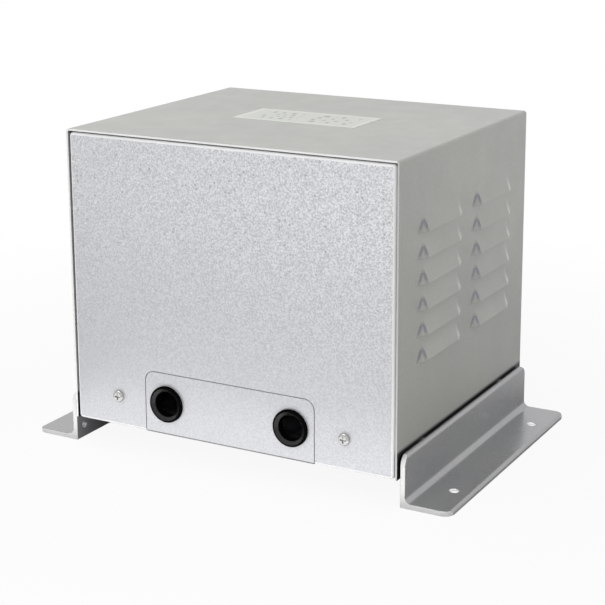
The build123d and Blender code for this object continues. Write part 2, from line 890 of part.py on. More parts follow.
with BuildPart() as terminal_lugs:
    with BuildSketch(lug_seat):
        with Locations(*upper_screw_points):
            Circle(lug_ring)
            Rectangle(lug_barrel_diameter, lug_ring + lug_barrel_length / 2, align=(Align.CENTER, Align.MIN))
            Circle((terminal_screw_diameter + thread_clearance) / 2, mode=Mode.SUBTRACT)
    extrude(amount=lug_thickness)
    with BuildSketch(Plane.XY.offset(barrel_bottom)):
        with Locations(*[(x, lead_y) for x in pole_places]):
            Circle(lug_barrel_diameter / 2)
    extrude(amount=lug_barrel_length)
save(terminal_lugs, "terminal_lugs")

lead_names = ["line_in_lead", "common_in_lead", "common_out_lead", "line_out_lead"]
for lead_name, x in zip(lead_names, pole_places):
    with BuildPart() as lead:
        with BuildLine() as route:
            lead_corners = [(x, coil_front, lead_exit), (x, lead_y, lead_exit), (x, lead_y, barrel_top)]
            FilletPolyline(*lead_corners, radius=lead_bend)
        with BuildSketch(Plane(origin=route.line @ 0, z_dir=route.line % 0)):
            Circle(lead_diameter / 2)
        sweep()
    save(lead, lead_name)
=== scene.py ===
import math

import bmesh
import bpy
from mathutils import Matrix, Vector


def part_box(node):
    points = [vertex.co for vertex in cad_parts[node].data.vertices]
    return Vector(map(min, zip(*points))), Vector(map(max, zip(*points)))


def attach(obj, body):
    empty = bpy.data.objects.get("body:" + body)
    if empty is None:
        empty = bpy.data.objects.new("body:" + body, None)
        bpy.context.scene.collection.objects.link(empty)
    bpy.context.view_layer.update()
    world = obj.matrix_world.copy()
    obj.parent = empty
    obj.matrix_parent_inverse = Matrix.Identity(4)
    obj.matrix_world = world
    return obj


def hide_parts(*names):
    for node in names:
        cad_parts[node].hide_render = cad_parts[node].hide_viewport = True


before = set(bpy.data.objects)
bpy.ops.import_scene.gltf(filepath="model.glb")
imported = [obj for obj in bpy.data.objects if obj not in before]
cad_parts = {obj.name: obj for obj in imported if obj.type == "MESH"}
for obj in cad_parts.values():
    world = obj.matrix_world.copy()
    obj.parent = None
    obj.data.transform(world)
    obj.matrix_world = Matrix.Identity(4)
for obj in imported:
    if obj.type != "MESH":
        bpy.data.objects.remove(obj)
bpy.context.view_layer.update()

# Base tray, the rails under the roof and the terminal bracket: folded from zinc-coated sheet. The coating
# sets in broad pale and dark flowers, which stay visible because these pieces aren't painted.


def new_finish(name):
    """A new finish and its shader."""
    finish = bpy.data.materials.new(name)
    finish.use_nodes = True
    return finish, finish.node_tree.nodes["Principled BSDF"]


def part_place(finish, stretch=(1.0, 1.0, 1.0)):
    """Place on the part, in metres, stretched along each axis."""
    nodes, links = finish.node_tree.nodes, finish.node_tree.links
    place = nodes.new("ShaderNodeTexCoord")
    stretched = nodes.new("ShaderNodeMapping")
    stretched.inputs["Scale"].default_value = stretch
    links.new(place.outputs["Object"], stretched.inputs["Vector"])
    return stretched.outputs["Vector"]


def clouds(finish, size, detail=2.0, stretch=(1.0, 1.0, 1.0)):
    """Cloudy greys whose blots are about that size."""
    noise = finish.node_tree.nodes.new("ShaderNodeTexNoise")
    noise.inputs["Scale"].default_value = 1 / size
    noise.inputs["Detail"].default_value = detail
    finish.node_tree.links.new(part_place(finish, stretch), noise.inputs["Vector"])
    return noise.outputs["Fac"]


def tint(finish, grey, dark, light, low=0.3, high=0.7):
    """Colour that runs from dark to light as a grey runs from low to high."""
    ramp = finish.node_tree.nodes.new("ShaderNodeValToRGB")
    for element, position, colour in zip(ramp.color_ramp.elements, (low, high), (dark, light)):
        element.position = position
        element.color = (*colour, 1.0)
    finish.node_tree.links.new(grey, ramp.inputs["Fac"])
    return ramp.outputs["Color"]


def span(finish, grey, first, last, low=0.3, high=0.7):
    """Number that runs from first to last as a grey runs from low to high."""
    run = finish.node_tree.nodes.new("ShaderNodeMapRange")
    limits = {"From Min": low, "From Max": high, "To Min": first, "To Max": last}
    for socket, value in limits.items():
        run.inputs[socket].default_value = value
    finish.node_tree.links.new(grey, run.inputs["Value"])
    return run.outputs["Result"]


def relief(finish, shader, grey, depth):
    """Bump of that depth, in metres."""
    bump = finish.node_tree.nodes.new("ShaderNodeBump")
    bump.inputs["Distance"].default_value = depth
    finish.node_tree.links.new(grey, bump.inputs["Height"])
    finish.node_tree.links.new(bump.outputs["Normal"], shader.inputs["Normal"])


def dress(finish, *names):
    """Give the solids of these names a finish."""
    for name in names:
        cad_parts[name].data.materials.clear()
        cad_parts[name].data.materials.append(finish)


def flowered_zinc():
    """Zinc-coated sheet with its flowers, each a patch of one grey."""
    flower_size = 0.009
    grain_size = 0.0012
    grain_depth = 0.00002
    dark_flower, pale_flower = (0.42, 0.43, 0.45), (0.60, 0.61, 0.62)
    finish, shader = new_finish("flowered_zinc")
    flowers = finish.node_tree.nodes.new("ShaderNodeTexVoronoi")
    flowers.inputs["Scale"].default_value = 1 / flower_size
    finish.node_tree.links.new(part_place(finish), flowers.inputs["Vector"])
    patches = flowers.outputs["Color"]
    colour = tint(finish, patches, dark_flower, pale_flower, low=0.2, high=0.8)
    gloss = span(finish, patches, first=0.34, last=0.52, low=0.2, high=0.8)
    finish.node_tree.links.new(colour, shader.inputs["Base Color"])
    finish.node_tree.links.new(gloss, shader.inputs["Roughness"])
    shader.inputs["Metallic"].default_value = 0.85
    relief(finish, shader, clouds(finish, grain_size), grain_depth)
    return finish


dress(flowered_zinc(), "base_tray", "front_hook_rail", "rear_hook_rail", "terminal_bracket")

# Core: a stack of thin silicon-steel sheets, varnished and pressed together. The cut edges of the sheets
# show as fine lines across the stack.

core_sheet = 0.0005


def stripes(finish, axis, pitch):
    """Greys that rise and fall once in each pitch along an axis."""
    wave_rate = 20.0  # radians that the wave turns in a metre at a scale of 1
    bands = finish.node_tree.nodes.new("ShaderNodeTexWave")
    bands.bands_direction = axis
    bands.inputs["Scale"].default_value = 2 * math.pi / wave_rate / pitch
    bands.inputs["Distortion"].default_value = 0.6
    bands.inputs["Detail Scale"].default_value = 0.2
    finish.node_tree.links.new(part_place(finish), bands.inputs["Vector"])
    return bands.outputs["Fac"]


def lined_finish(name, axis, pitch, dark, light, metallic, roughness, depth):
    """Finish of stacked sheets or laid wire: a line in each pitch, with gloss that wanders."""
    gloss_size = 0.012
    finish, shader = new_finish(name)
    lines = stripes(finish, axis, pitch)
    colour = tint(finish, lines, dark, light, low=0.1, high=0.9)
    gloss = span(finish, clouds(finish, gloss_size), *roughness)
    finish.node_tree.links.new(colour, shader.inputs["Base Color"])
    finish.node_tree.links.new(gloss, shader.inputs["Roughness"])
    shader.inputs["Metallic"].default_value = metallic
    relief(finish, shader, lines, depth)
    return finish


varnished_stack = lined_finish(
    "varnished_stack",
    axis="Y",
    pitch=core_sheet,
    dark=(0.07, 0.065, 0.06),
    light=(0.24, 0.23, 0.22),
    metallic=0.6,
    roughness=(0.35, 0.55),
    depth=0.00004,
)
dress(varnished_stack, "laminated_core")

# Coil: two windings of enamelled copper wire on a moulded bobbin, with varnished paper between them and
# round the outside. It fills the core's windows.

wire_pitch = 0.0022
enamelled_copper = lined_finish(
    "enamelled_copper",
    axis="Z",
    pitch=wire_pitch,
    dark=(0.30, 0.10, 0.045),
    light=(0.62, 0.27, 0.13),
    metallic=0.75,
    roughness=(0.25, 0.4),
    depth=0.0005,
)
dress(enamelled_copper, "common_winding", "series_winding")


def mottled_finish(name, dark, light, blot, metallic, roughness, depth, stretch=(1.0, 1.0, 1.0)):
    """Finish whose colour, gloss and skin all vary over blots of one size."""
    finish, shader = new_finish(name)
    grey = clouds(finish, blot, detail=3.0, stretch=stretch)
    finish.node_tree.links.new(tint(finish, grey, dark, light), shader.inputs["Base Color"])
    finish.node_tree.links.new(span(finish, grey, *roughness), shader.inputs["Roughness"])
    shader.inputs["Metallic"].default_value = metallic
    relief(finish, shader, grey, depth)
    return finish


cream_moulding = mottled_finish(
    "cream_moulding",
    dark=(0.70, 0.64, 0.51),
    light=(0.78, 0.73, 0.60),
    blot=0.004,
    metallic=0.0,
    roughness=(0.42, 0.55),
    depth=0.00003,
)
dress(cream_moulding, "coil_bobbin")
varnished_paper = mottled_finish(
    "varnished_paper",
    dark=(0.46, 0.32, 0.13),
    light=(0.66, 0.50, 0.25),
    blot=0.003,
    metallic=0.0,
    roughness=(0.38, 0.62),
    depth=0.00008,
    stretch=(1.0, 1.0, 0.2),
)
dress(varnished_paper, "interlayer_insulation", "coil_wrap")

# Core clamps: four angles folded from steel sheet and coated with black primer. They lie along the core's
# yokes in pairs, drawn together by bolts through the stack.

black_primer = mottled_finish(
    "black_primer",
    dark=(0.012, 0.012, 0.013),
    light=(0.035, 0.035, 0.038),
    blot=0.0015,
    metallic=0.0,
    roughness=(0.40, 0.58),
    depth=0.00006,
)
dress(black_primer, "lower_front_clamp", "lower_rear_clamp", "upper_front_clamp", "upper_rear_clamp")

# Bolts, nuts, washers, studs and spacers: turned or headed from steel and bright zinc plated. They hold the
# core, the bracket, the block and the feet. The earth screw is dyed green.

bright_plate = mottled_finish(
    "bright_plate",
    dark=(0.56, 0.56, 0.55),
    light=(0.72, 0.72, 0.71),
    blot=0.0008,
    metallic=1.0,
    roughness=(0.22, 0.38),
    depth=0.00001,
)
dress(
    bright_plate,
    "core_bolts",
    "core_bolt_washers",
    "core_bolt_nuts",
    "core_mount_bolts",
    "core_mount_nuts",
    "bracket_bolts",
    "bracket_nuts",
    "block_screws",
    "block_nuts",
    "cover_clinch_nuts",
    "earth_nut",
    "foot_studs",
    "foot_spacers",
    "foot_nuts",
    "terminal_screws",
)
green_plate = mottled_finish(
    "green_plate",
    dark=(0.03, 0.20, 0.06),
    light=(0.07, 0.34, 0.12),
    blot=0.0008,
    metallic=0.6,
    roughness=(0.25, 0.4),
    depth=0.00001,
)
dress(green_plate, "earth_screw")

# Terminal block: a black moulding with barriers between its poles, brass plates in them, and crimped lugs
# that bring in the coil's sleeved leads.

black_moulding = mottled_finish(
    "black_moulding",
    dark=(0.012, 0.012, 0.012),
    light=(0.026, 0.026, 0.026),
    blot=0.0009,
    metallic=0.0,
    roughness=(0.28, 0.4),
    depth=0.00003,
)
dress(black_moulding, "terminal_block")
drawn_brass = mottled_finish(
    "drawn_brass",
    dark=(0.62, 0.44, 0.17),
    light=(0.78, 0.62, 0.30),
    blot=0.0006,
    metallic=1.0,
    roughness=(0.25, 0.4),
    depth=0.00001,
    stretch=(1.0, 1.0, 0.1),
)
dress(drawn_brass, "terminal_plates")
dull_tin = mottled_finish(
    "dull_tin",
    dark=(0.58, 0.58, 0.59),
    light=(0.74, 0.74, 0.75),
    blot=0.0008,
    metallic=1.0,
    roughness=(0.35, 0.5),
    depth=0.00002,
)
dress(dull_tin, "terminal_lugs")
red_sleeve = mottled_finish(
    "red_sleeve",
    dark=(0.34, 0.02, 0.015),
    light=(0.48, 0.05, 0.035),
    blot=0.0015,
    metallic=0.0,
    roughness=(0.38, 0.5),
    depth=0.00003,
)
dress(red_sleeve, "line_in_lead", "line_out_lead")
white_sleeve = mottled_finish(
    "white_sleeve",
    dark=(0.70, 0.70, 0.67),
    light=(0.80, 0.80, 0.78),
    blot=0.0015,
    metallic=0.0,
    roughness=(0.38, 0.5),
    depth=0.00003,
)
dress(white_sleeve, "common_in_lead", "common_out_lead")

# Wrapper: roof and both side walls from one sheet, folded at the roof's edges, with the louvres pressed out
# of the walls in one stroke each. Its satin silver-grey paint softens every pressed line. The louvres'
# front hips are rubbed to smoother, more metallic steel with painted shade on them, their rear hips carry a
# painted highlight, and so do the cut edges.

wall_face = 0.1425
wall_end = 0.120
sheet_thickness = 0.0016
louvre_zone_top = 0.211
top_louvre_lip = 0.1975
louvre_pitch = 0.0194
lip_root = 0.004  # an edge where a lip meets the wall is shorter than this
brow_round = 0.0045
hip_round = 0.0030
lip_round = 0.0004
lip_root_round = 0.0002
cut_round = 0.0003
crease_turns = (12, 45)  # degrees that the sheet turns at a pressed crease
cut_turn = 50  # degrees from which an edge is a cut one
end_facing = 0.9  # how far a face looks along Y, from 0 to 1, to count as an end
hair = 0.00001  # places closer than this count as one
weld = 0.000001  # corners closer than this become one
mix_first, mix_second, mix_result = 6, 7, 2  # the colour sockets of a mix node


def edge_turn(edge):
    """Angle in degrees between the two faces at an edge."""
    if len(edge.link_faces) != 2:
        return 0.0
    return math.degrees(edge.calc_face_angle(0.0))


def one_finish(face):
    """For pieces that have one finish all over."""
    return 0


def piece_of(shape, name):
    """New piece with the mesh of a shape, which is let go."""
    mesh = bpy.data.meshes.new(name)
    shape.to_mesh(mesh)
    shape.free()
    piece = bpy.data.objects.new(name, mesh)
    bpy.context.scene.collection.objects.link(piece)
    return piece


def rounded_copy(node, name, rounding, largest, steps, finish_at=one_finish):
    """New piece with a solid's form: flats made whole again, then each edge rounded as rounding says.

    finish_at gives the number of each face's finish.
    """
    flat_turn = math.radians(0.2)
    sheet = bmesh.new()
    sheet.from_mesh(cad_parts[node].data)
    bmesh.ops.remove_doubles(sheet, verts=sheet.verts, dist=weld)
    bmesh.ops.dissolve_limit(sheet, angle_limit=flat_turn, verts=sheet.verts, edges=sheet.edges)
    weight = sheet.edges.layers.float.new("bevel_weight_edge")
    for edge in sheet.edges:
        edge[weight] = rounding(edge) / largest
    for face in sheet.faces:
        face.smooth = True
        face.material_index = finish_at(face)
    piece = piece_of(sheet, name)
    rounds = piece.modifiers.new("rounds", "BEVEL")
    rounds.limit_method = "WEIGHT"
    rounds.width = largest
    rounds.segments = steps
    rounds.use_clamp_overlap = False
    rounds.loop_slide = False
    piece.modifiers.new("flats", "WEIGHTED_NORMAL")
    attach(piece, "root")
    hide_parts(node)
    return piece


def wrapper_rounding(edge):
    """Hoods grow softly out of the wall, with tighter hips. Lips and cut edges are barely broken."""
    first, second = (corner.co for corner in edge.verts)
    turn = edge_turn(edge)
    outside = min(abs(first.x), abs(second.x)) > wall_face - hair
    pressed = crease_turns[0] < turn < crease_turns[1]
    if outside and pressed and max(first.z, second.z) < louvre_zone_top:
        level = abs(first.z - second.z) < hair
        return brow_round if level else hip_round
    at_end = min(abs(first.y), abs(second.y)) > wall_end - hair
    if turn < cut_turn or not (outside or at_end):
        return 0.0
    if at_end:
        return cut_round
    on_wall = max(abs(first.x), abs(second.x)) < wall_face + hair
    return lip_root_round if on_wall and edge.calc_length() < lip_root else lip_round


def wrapper_finish_at(face):
    """The sheet's cut edges round both ends of the wrapper carry the painted highlight, the rest is
    painted.
    """
    at_end = abs(face.calc_center_median().y) > wall_end - hair
    return 1 if at_end and abs(face.normal.y) > end_facing else 0


def combine(finish, operation, first, second):
    """Two varying numbers put together."""
    both = finish.node_tree.nodes.new("ShaderNodeMath")
    both.operation = operation
    finish.node_tree.links.new(first, both.inputs[0])
    finish.node_tree.links.new(second, both.inputs[1])
    return both.outputs["Value"]


def lay_over(finish, colour, amount):
    """Lay a colour over the one that a finish has, by a varying amount."""
    links = finish.node_tree.links
    base = finish.node_tree.nodes["Principled BSDF"].inputs["Base Color"]
    mix = finish.node_tree.nodes.new("ShaderNodeMix")
    mix.data_type = "RGBA"
    links.new(amount, mix.inputs["Factor"])
    links.new(base.links[0].from_socket, mix.inputs[mix_first])
    mix.inputs[mix_second].default_value = (*colour, 1.0)
    links.new(mix.outputs[mix_result], base)


def wear_through(finish, amount):
    """Let bare steel through a paint by a varying amount: more of a metal, and smoother."""
    polish = 0.16
    shader = finish.node_tree.nodes["Principled BSDF"]
    metallic, roughness = shader.inputs["Metallic"], shader.inputs["Roughness"]
    metal = span(finish, amount, metallic.default_value, 1.0, low=0.0, high=1.0)
    smoother = span(finish, amount, 0.0, polish, low=0.0, high=1.0)
    gloss = combine(finish, "SUBTRACT", roughness.links[0].from_socket, smoother)
    finish.node_tree.links.new(metal, metallic)
    finish.node_tree.links.new(gloss, roughness)


def part_axis(finish, output, axis):
    """One axis of the place on the part, or of the way that its surface faces."""
    nodes, links = finish.node_tree.nodes, finish.node_tree.links
    source = nodes.new("ShaderNodeTexCoord")
    axes = nodes.new("ShaderNodeSeparateXYZ")
    links.new(source.outputs[output], axes.inputs["Vector"])
    return axes.outputs[axis]


def satin_paint(name, dark, light, flake_size, metallic, roughness, peel):
    """Sprayed silver-grey paint: fine flake, a slight peel and a slow drift of tone."""
    drift_size = 0.09
    gloss_size = 0.02
    peel_size = 0.0018
    drift_tones = ((0.94, 0.945, 0.95), (1.0, 1.0, 0.985))
    finish, shader = new_finish(name)
    nodes, links = finish.node_tree.nodes, finish.node_tree.links
    flake = tint(finish, clouds(finish, flake_size, detail=1.0), dark, light)
    drift = tint(finish, clouds(finish, drift_size, detail=1.0), *drift_tones)
    both = nodes.new("ShaderNodeMix")
    both.data_type = "RGBA"
    both.blend_type = "MULTIPLY"
    both.inputs["Factor"].default_value = 1.0
    links.new(flake, both.inputs[mix_first])
    links.new(drift, both.inputs[mix_second])
    links.new(both.outputs[mix_result], shader.inputs["Base Color"])
    links.new(span(finish, clouds(finish, gloss_size), *roughness), shader.inputs["Roughness"])
    shader.inputs["Metallic"].default_value = metallic
    relief(finish, shader, clouds(finish, peel_size), peel)
    return finish


def wrapper_paint():
    """Satin paint: painted shade on the louvres' front hips and behind the feet, painted highlight on rear
    hips.
    """
    hip_shade_grey = (0.21, 0.21, 0.225)
    hip_highlight_grey = (0.66, 0.66, 0.65)
    gap_shade_black = (0.02, 0.02, 0.022)
    finish = satin_paint(
        "satin_wrapper_paint",
        dark=(0.42, 0.425, 0.40),
        light=(0.49, 0.496, 0.467),
        flake_size=0.0007,
        metallic=0.35,
        roughness=(0.34, 0.42),
        peel=0.000006,
    )
    height = part_axis(finish, "Object", "Z")
    backward = part_axis(finish, "Normal", "Y")
    in_row = finish.node_tree.nodes.new("ShaderNodeMath")
    in_row.operation = "WRAP"
    in_row.inputs[1].default_value = top_louvre_lip + louvre_pitch
    in_row.inputs[2].default_value = top_louvre_lip
    finish.node_tree.links.new(height, in_row.inputs[0])

    def up_hood(first, last, low, high):
        """Number that runs from first to last between two heights above a louvre's lip."""
        heights = (top_louvre_lip + low, top_louvre_lip + high)
        return span(finish, in_row.outputs["Value"], first, last, *heights)

    lip_fade = up_hood(0.35, 1.0, low=0.0, high=0.0035)
    ridge_fade = up_hood(1.0, 0.0, low=0.0080, high=0.0115)
    middle_fade = up_hood(1.0, 0.0, low=0.0040, high=0.0100)
    wall_fade = span(finish, backward, 1.0, 0.0, low=-0.10, high=-0.03)
    hood_end_fade = span(finish, backward, 0.0, 1.0, low=-0.36, high=-0.22)
    rear_facing = span(finish, backward, 0.0, 1.0, low=0.10, high=0.28)
    front_creases = combine(finish, "MULTIPLY", wall_fade, hood_end_fade)
    lip_to_ridge = combine(finish, "MULTIPLY", lip_fade, ridge_fade)
    front_hips = combine(finish, "MULTIPLY", front_creases, lip_to_ridge)
    rear_hips = combine(finish, "MULTIPLY", rear_facing, middle_fade)
    foot_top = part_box("right_foot_angle")[1].z
    gap_shade_to, paint_from = foot_top + 0.0010, foot_top + 0.0036
    behind_foot = span(finish, height, 1.0, 0.0, low=gap_shade_to, high=paint_from)
    # Painted shade along the louvres' front hips and a painted highlight along their rear hips.
    lay_over(finish, hip_shade_grey, front_hips)
    lay_over(finish, hip_highlight_grey, rear_hips)
    # Painted shade in the gap behind the feet: a near-black band low on the wall.
    lay_over(finish, gap_shade_black, behind_foot)
    wear_through(finish, front_hips)
    return finish


def painted_edge_highlights():
    """Near-white painted highlight for folds and cut edges, greyer on the right wall's cut edge."""
    dimmer_right_edge = (0.60, 0.60, 0.595)
    right_edge_blend = 0.0005
    finish = mottled_finish(
        "painted_edge_highlight",
        dark=(0.94, 0.945, 0.955),
        light=(0.98, 0.985, 0.99),
        blot=0.0010,
        metallic=0.0,
        roughness=(0.30, 0.45),
        depth=0.00003,
    )
    wall_inside = wall_face - sheet_thickness
    to_right = part_axis(finish, "Object", "X")
    right_wall = span(finish, to_right, 0.0, 1.0, wall_inside - right_edge_blend, wall_inside)
    lay_over(finish, dimmer_right_edge, right_wall)
    return finish


wrapper = rounded_copy(
    "wrapper_cover", "louvred_wrapper", wrapper_rounding, brow_round, steps=4, finish_at=wrapper_finish_at
)
# Painted highlight for the cut edges and the folds.
painted_edge_highlight = painted_edge_highlights()
wrapper.data.materials.append(wrapper_paint())
wrapper.data.materials.append(painted_edge_highlight)

# Covers: two folded pans that stand flush in the ends of the wrapper. Their upper rims hook on the rails,
# and two screws hold each below. The front one has a bright silver paint that dries in fine speckles, with
# a painted highlight along the folds of the rim.

fold_facing = (0.03, 0.99)  # how far a fold looks along Y, from 0 to 1


def cut_rounding(edge):
    """Cut edges are barely broken, and the folds are left as they are."""
    return cut_round if edge_turn(edge) > cut_turn else 0.0


def cover_finish_at(face):
    """The folds of the rim carry the painted highlight."""
    return 1 if fold_facing[0] < abs(face.normal.y) < fold_facing[1] else 0


def specks(finish, pitch, radius, share):
    """Scattered round specks: 1 in a speck, 0 between, in that share of the cells of a pitch."""
    whole, gone = 0.6 * radius / pitch, 1.2 * radius / pitch
    nodes, links = finish.node_tree.nodes, finish.node_tree.links
    cells = nodes.new("ShaderNodeTexVoronoi")
    cells.inputs["Scale"].default_value = 1 / pitch
    links.new(part_place(finish), cells.inputs["Vector"])
    near = span(finish, cells.outputs["Distance"], 1.0, 0.0, whole, gone)
    chosen = nodes.new("ShaderNodeMath")
    chosen.operation = "LESS_THAN"
    chosen.inputs[1].default_value = share
    draw = nodes.new("ShaderNodeSeparateColor")
    links.new(cells.outputs["Color"], draw.inputs["Color"])
    links.new(draw.outputs["Red"], chosen.inputs[0])
    return combine(finish, "MULTIPLY", near, chosen.outputs["Value"])


def speckled_silver():
    """Bright silver paint with painted shade at the lower edge and left, its grain coarser upwards like
    grazing light.
    """
    grain_size = 0.0013
    dark_grain, light_grain = (0.56, 0.567, 0.59), (0.90, 0.908, 0.935)
    calm_grey = (0.55, 0.557, 0.58)
    left_shade_grey = (0.53, 0.537, 0.56)
    pit_grey = (0.45, 0.455, 0.48)
    bead_white = (0.90, 0.905, 0.92)
    underside_shade_grey = (0.14, 0.14, 0.145)
    low_down, high_up = 0.07, 0.21
    far_left, far_right = -0.14, 0.14
    skin_depth = 0.00005
    finish, shader = new_finish("speckled_silver")
    links = finish.node_tree.links
    height = part_axis(finish, "Object", "Z")
    to_right = part_axis(finish, "Object", "X")
    # Painted light: the grain's contrast grows upwards the way grazing light shows it, and calms to a
    # darker grey lower down.
    calm = span(finish, height, first=0.65, last=0.0, low=low_down, high=high_up)
    coarse = span(finish, height, first=0.2, last=1.0, low=low_down, high=high_up)
    grain = clouds(finish, grain_size, detail=1.5)
    pits = combine(finish, "MULTIPLY", specks(finish, pitch=0.0042, radius=0.0010, share=0.32), coarse)
    beads = combine(finish, "MULTIPLY", specks(finish, pitch=0.0051, radius=0.0009, share=0.25), coarse)
    left_shade = span(finish, to_right, first=0.34, last=0.0, low=far_left, high=far_right)
    cover_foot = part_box("front_cover")[0].z
    underside_shade_to, paint_from = cover_foot + 0.0008, cover_foot + 0.0014
    underside_shade = span(finish, height, first=1.0, last=0.0, low=underside_shade_to, high=paint_from)
    colour = tint(finish, grain, dark_grain, light_grain, low=0.35, high=0.65)
    links.new(colour, shader.inputs["Base Color"])
    lay_over(finish, calm_grey, calm)
    # Painted shade: the front darkens towards the left, standing in for a lamp nearer the right.
    lay_over(finish, left_shade_grey, left_shade)
    lay_over(finish, pit_grey, pits)
    lay_over(finish, bead_white, beads)
    # Painted shade along the lower edge, where the fold turns under.
    lay_over(finish, underside_shade_grey, underside_shade)
    links.new(span(finish, grain, first=0.34, last=0.46), shader.inputs["Roughness"])
    shader.inputs["Metallic"].default_value = 0.35
    shader.inputs["Coat Weight"].default_value = 0.4
    shader.inputs["Coat Roughness"].default_value = 0.2
    relief(finish, shader, combine(finish, "SUBTRACT", grain, pits), skin_depth)
    return finish


front_paint = speckled_silver()
front = rounded_copy(
    "front_cover", "front_cover_pan", cut_rounding, cut_round, steps=2, finish_at=cover_finish_at
)
front.data.materials.append(front_paint)
front.data.materials.append(painted_edge_highlight)
rear_paint = satin_paint(
    "satin_rear_paint",
    dark=(0.42, 0.425, 0.42),
    light=(0.49, 0.496, 0.49),
    flake_size=0.0007,
    metallic=0.35,
    roughness=(0.34, 0.42),
    peel=0.000006,
)
rear = rounded_copy("rear_cover", "rear_cover_pan", cut_rounding, cut_round, steps=2)
rear.data.materials.append(rear_paint)

# Cable entry plate: a flat plate in the notch of the front cover, painted with it. The two grommets, pushed
# through plate and tray, hold it there.

plate_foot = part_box("cable_entry_plate")[0].z
plate_foot_round = 0.00075
plate_foot_edge = 0.1  # the lower edge is longer than this


def plate_rounding(edge):
    """The lower edge is filed round, the others are barely broken."""
    if edge_turn(edge) < cut_turn:
        return 0.0
    first, second = (corner.co for corner in edge.verts)
    at_foot = max(first.z, second.z) < plate_foot + hair
    return plate_foot_round if at_foot and abs(first.x - second.x) > plate_foot_edge else cut_round


plate = rounded_copy("cable_entry_plate", "cable_plate", plate_rounding, plate_foot_round, steps=3)
plate.data.materials.append(front_paint)

# Grommets: moulded black rubber rings. A groove grips the edge of the hole, and the lip in front runs down
# to the bore in a funnel.

ring_turns = 96
arc_steps = 6
bore = 0.010
neck = 0.0119
lip = 0.003
funnel_width, funnel_depth = 0.0029, 0.0022
bore_margin, rim_margin = 0.0008, 0.0020  # the rubbed part of the funnel keeps these from bore and rim
black_rubber = mottled_finish(
    "black_rubber",
    dark=(0.002, 0.002, 0.002),
    light=(0.005, 0.005, 0.005),
    blot=0.0012,
    metallic=0.0,
    roughness=(0.14, 0.20),
    depth=0.000003,
)
black_rubber.node_tree.nodes["Principled BSDF"].inputs["Specular IOR Level"].default_value = 0.0
rubbed_rubber = mottled_finish(
    "rubbed_rubber",
    dark=(0.005, 0.005, 0.006),
    light=(0.009, 0.009, 0.010),
    blot=0.0012,
    metallic=0.0,
    roughness=(0.22, 0.30),
    depth=0.00001,
)
rubbed_rubber.node_tree.nodes["Principled BSDF"].inputs["Specular IOR Level"].default_value = 0.38


def round_corners(corners):
    """Closed outline with arcs for corners. A corner is how far off and along the axis, and a radius."""
    places = [Vector((off, along)) for off, along, radius in corners]
    radii = [radius for off, along, radius in corners]
    outline = []
    for index, (corner, radius) in enumerate(zip(places, radii)):
        before = (places[index - 1] - corner).normalized()
        after = (places[(index + 1) % len(places)] - corner).normalized()
        half = before.angle(after) / 2
        centre = corner + (before + after).normalized() * radius / math.sin(half)
        first = corner + before * radius / math.tan(half)
        last = corner + after * radius / math.tan(half)
        for step in range(arc_steps + 1):
            outline.append(centre + (first.lerp(last, step / arc_steps) - centre).normalized() * radius)
    return outline


def grommet(node, name):
    """One ring: its section turned round the axis of its bore."""
    low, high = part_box(node)
    axis_x, axis_z = (low.x + high.x) / 2, (low.z + high.z) / 2
    rim = (high.x - low.x) / 2
    section = [  # off the axis, along it, radius of the corner
        (bore, low.y + funnel_depth, 0.0008),
        (bore + funnel_width, low.y, 0.0004),
        (rim, low.y, 0.0013),
        (rim, low.y + lip, 0.0002),
        (neck, low.y + lip, 0.0002),
        (neck, high.y - lip, 0.0002),
        (rim, high.y - lip, 0.0002),
        (rim, high.y, 0.0010),
        (bore, high.y, 0.0010),
    ]
    outline = round_corners(section)
    ring = bmesh.new()
    rows = []
    for turn in range(ring_turns):
        angle = 2 * math.pi * turn / ring_turns
        across, up = math.cos(angle), math.sin(angle)
        places = [(axis_x + off * across, along, axis_z + off * up) for off, along in outline]
        rows.append([ring.verts.new(place) for place in places])
    for last_row, row in zip(rows[-1:] + rows[:-1], rows):
        for step in range(len(outline)):
            ring.faces.new((last_row[step - 1], last_row[step], row[step], row[step - 1]))
    for face in ring.faces:
        middle = face.calc_center_median()
        off_axis = math.hypot(middle.x - axis_x, middle.z - axis_z)
        in_funnel = bore + bore_margin < off_axis < rim - rim_margin and middle.y < low.y + lip
        face.smooth = True
        face.material_index = 1 if in_funnel else 0
    piece = piece_of(ring, name)
    piece.data.materials.append(black_rubber)
    piece.data.materials.append(rubbed_rubber)
    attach(piece, "root")
    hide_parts(node)


grommet("left_cable_grommet", "left_grommet")
grommet("right_cable_grommet", "right_grommet")

# Cover screws: truss heads with cross recesses, cold headed from steel and bright zinc plated. One near
# each lower corner of a cover is driven into a clinch nut behind it.

head_round = 0.00015
head_turn = 40  # degrees from which an edge of the head is broken
polished_plate = mottled_finish(
    "polished_plate",
    dark=(0.42, 0.42, 0.41),
    light=(0.54, 0.54, 0.53),
    blot=0.0006,
    metallic=1.0,
    roughness=(0.12, 0.20),
    depth=0.000004,
)


def head_rounding(edge):
    """The edges of head and recess are barely broken."""
    return head_round if edge_turn(edge) > head_turn else 0.0


for end in ("front", "rear"):
    screws = rounded_copy(f"{end}_cover_screws", f"{end}_screw_pair", head_rounding, head_round, steps=2)
    screws.data.materials.append(polished_plate)

# Feet: two lengths of rolled steel angle, sawn, drilled and painted. Studs welded to the upright legs go
# through the wall and the tray, with a spacer in the gap.

